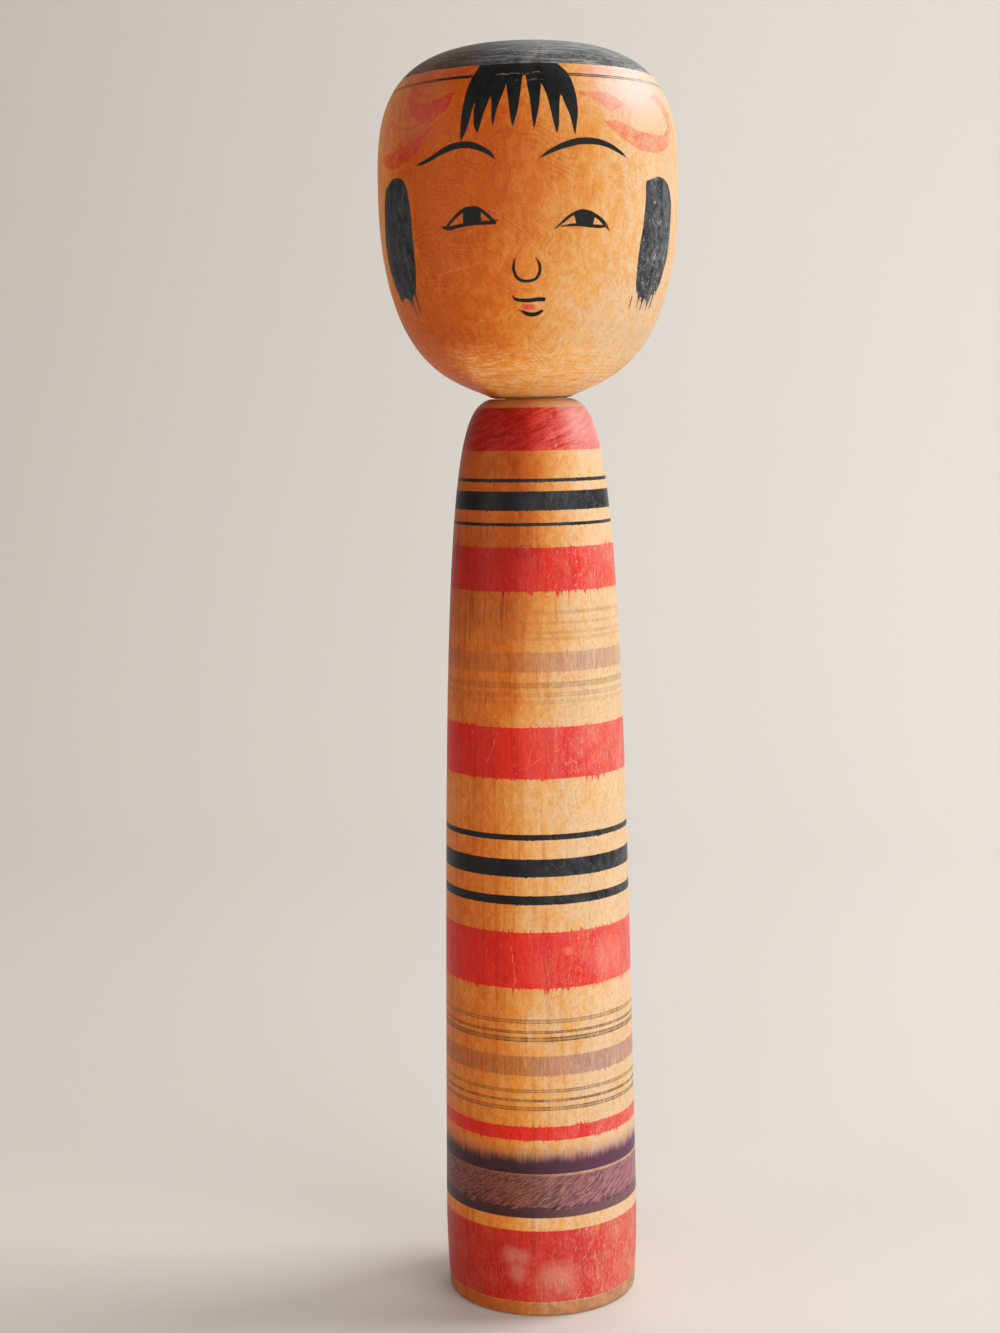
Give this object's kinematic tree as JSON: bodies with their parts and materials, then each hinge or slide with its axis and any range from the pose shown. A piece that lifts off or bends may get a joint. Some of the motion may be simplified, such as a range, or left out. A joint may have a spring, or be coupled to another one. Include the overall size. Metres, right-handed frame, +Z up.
{
  "type": "kokeshi doll",
  "caption": "Turned wooden kokeshi doll: a slim cylindrical body with a flat base, and a round head that turns on a snap-in neck plug.",
  "frame": {"origin": "centre of the flat base, on the surface the doll stands on", "axes": "+Z up along the turning axis, -Y the way the face looks, +X to the viewer's right when facing the doll"},
  "size_m": [0.0712, 0.0712, 0.303],
  "materials": {
    "body_wood": "turned and waxed, with lathe-painted rings",
    "head_wood": "turned and waxed, with brush-painted hair and face"
  },
  "bodies": {
    "body": {"body": "body_wood"},
    "head": {"head": "head_wood"}
  },
  "joints": [
    {"name": "head_turn", "type": "hinge", "parent": "body", "child": "head", "pos_m": [0, 0, 0.221], "axis": [0, 0, 1], "continuous": true}
  ]
}
